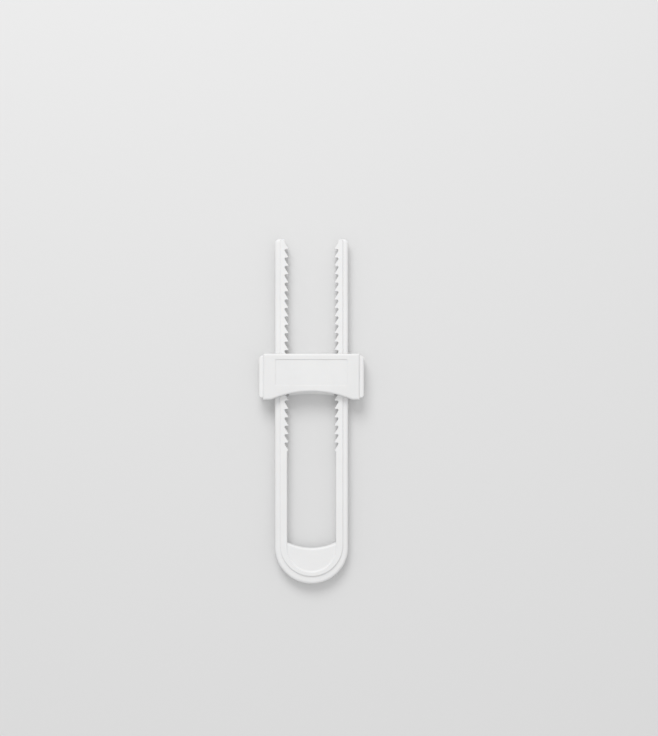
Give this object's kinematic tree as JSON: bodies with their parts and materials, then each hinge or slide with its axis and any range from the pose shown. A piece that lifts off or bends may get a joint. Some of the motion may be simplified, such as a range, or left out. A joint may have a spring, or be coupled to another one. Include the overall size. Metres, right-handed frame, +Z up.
{
  "type": "cabinet safety lock",
  "caption": "Sliding cabinet safety lock: a toothed U-bar that loops round door knobs, and a block with sprung squeeze buttons that slides along its arms and locks.",
  "frame": {"origin": "middle of the whole lock's box in X and Y, level with the flat back of the block", "axes": "X across the arms, Y along the arms towards their open ends, Z up from the back of the block to its front"},
  "size_m": [0.0624, 0.205, 0.0139],
  "materials": {
    "bar_plastic": "satin white moulded polypropylene",
    "cover_plastic": "satin white moulded polypropylene",
    "button_plastic": "satin white moulded acetal",
    "spring_steel": "drawn spring wire"
  },
  "bodies": {
    "bar": {"u_bar": "bar_plastic"},
    "lock": {"front_cover": "cover_plastic", "rear_cover": "cover_plastic", "left_spring": "spring_steel", "right_spring": "spring_steel"},
    "left_press_button": {"left_button": "button_plastic"},
    "right_press_button": {"right_button": "button_plastic"}
  },
  "joints": [
    {"name": "lock_slide", "type": "slide", "parent": "bar", "child": "lock", "axis": [0, 1, 0], "range_m": [-0.04, 0.11]},
    {"name": "left_press", "type": "slide", "parent": "lock", "child": "left_press_button", "axis": [1, 0, 0], "range_m": [0, 0.0024], "stiffness_N_per_m": 1500, "springref_m": -0.002, "deforming": ["left_spring"]},
    {"name": "right_press", "type": "slide", "parent": "lock", "child": "right_press_button", "axis": [-1, 0, 0], "range_m": [0, 0.0024], "stiffness_N_per_m": 1500, "springref_m": -0.002, "deforming": ["right_spring"]}
  ]
}
